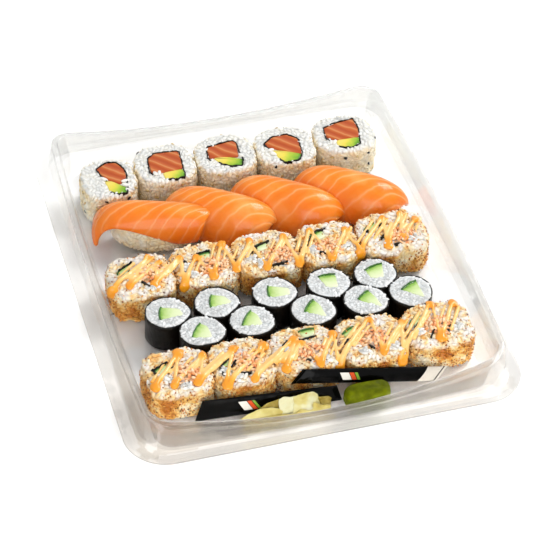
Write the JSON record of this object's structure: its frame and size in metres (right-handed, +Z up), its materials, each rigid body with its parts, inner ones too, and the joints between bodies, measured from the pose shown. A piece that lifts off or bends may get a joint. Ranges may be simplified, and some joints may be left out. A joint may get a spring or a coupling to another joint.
{
  "type": "takeaway sushi tray",
  "caption": "Open clear plastic tray with a raised rim, filled with rolls, salmon nigiri, sauce sachets, pickled ginger and wasabi.",
  "frame": {"origin": "middle of the underside of the tray's floor", "axes": "+Z up, +Y towards the back row of rolls, +X to the right"},
  "size_m": [0.224, 0.2688, 0.0287],
  "materials": {
    "clear_plastic": "clear thermoformed sheet, gloss",
    "rice": "moist sushi rice",
    "spiced_rice": "sushi rice with spice crumbs and drizzled sauce",
    "salmon": "moist raw salmon",
    "seaweed": "pressed nori",
    "black_film": "printed film, gloss",
    "ginger": "moist pickled slices",
    "wasabi": "smooth paste",
    "sauce": "thick glossy sauce",
    "cucumber": "cut cucumber",
    "avocado": "ripe avocado",
    "crab_paste": "shredded filling",
    "sesame": "dry seeds and crumbs"
  },
  "bodies": {
    "root": {"clear_tray": "clear_plastic", "salmon_avocado_roll_1": "rice", "salmon_avocado_roll_2": "rice", "salmon_avocado_roll_3": "rice", "salmon_avocado_roll_4": "rice", "salmon_avocado_roll_5": "rice", "salmon_nigiri_1": "salmon", "salmon_nigiri_2": "salmon", "salmon_nigiri_3": "salmon", "salmon_nigiri_4": "salmon", "drizzled_roll_1": "spiced_rice", "drizzled_roll_2": "spiced_rice", "drizzled_roll_3": "spiced_rice", "drizzled_roll_4": "spiced_rice", "drizzled_roll_5": "spiced_rice", "front_roll_1": "spiced_rice", "front_roll_2": "spiced_rice", "front_roll_3": "spiced_rice", "front_roll_4": "spiced_rice", "front_roll_5": "spiced_rice", "cucumber_roll_1": "seaweed", "cucumber_roll_2": "seaweed", "cucumber_roll_3": "seaweed", "cucumber_roll_4": "seaweed", "cucumber_roll_5": "seaweed", "cucumber_roll_6": "seaweed", "cucumber_roll_7": "seaweed", "cucumber_roll_8": "seaweed", "cucumber_roll_9": "seaweed", "cucumber_roll_10": "seaweed", "sauce_sachet_1": "black_film", "sauce_sachet_2": "black_film", "pickled_ginger": "ginger", "wasabi": "wasabi"}
  },
  "joints": []
}
